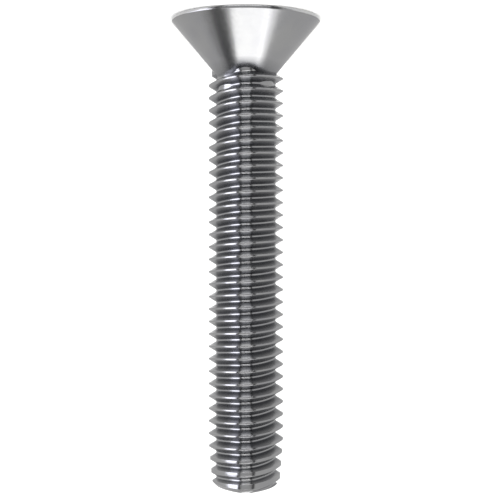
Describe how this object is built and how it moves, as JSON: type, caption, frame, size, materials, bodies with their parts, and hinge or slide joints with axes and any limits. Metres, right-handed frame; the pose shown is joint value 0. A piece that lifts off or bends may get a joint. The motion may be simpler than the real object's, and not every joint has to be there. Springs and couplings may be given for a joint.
{
  "type": "countersunk thread-forming screw",
  "caption": "Flat-headed countersunk steel screw with a lobed drive socket and a lobed machine thread that forms its own mating thread as it is driven in.",
  "frame": {"origin": "centre of the head's flat face, on which the screw stands", "axes": "+Z along the screw's axis from the head to the threaded end, -Y towards one lobe of the thread"},
  "size_m": [0.0094, 0.0094, 0.03],
  "materials": {
    "screw": "bright and smooth, lightly drawn"
  },
  "bodies": {
    "root": {"screw": "screw"}
  },
  "joints": []
}
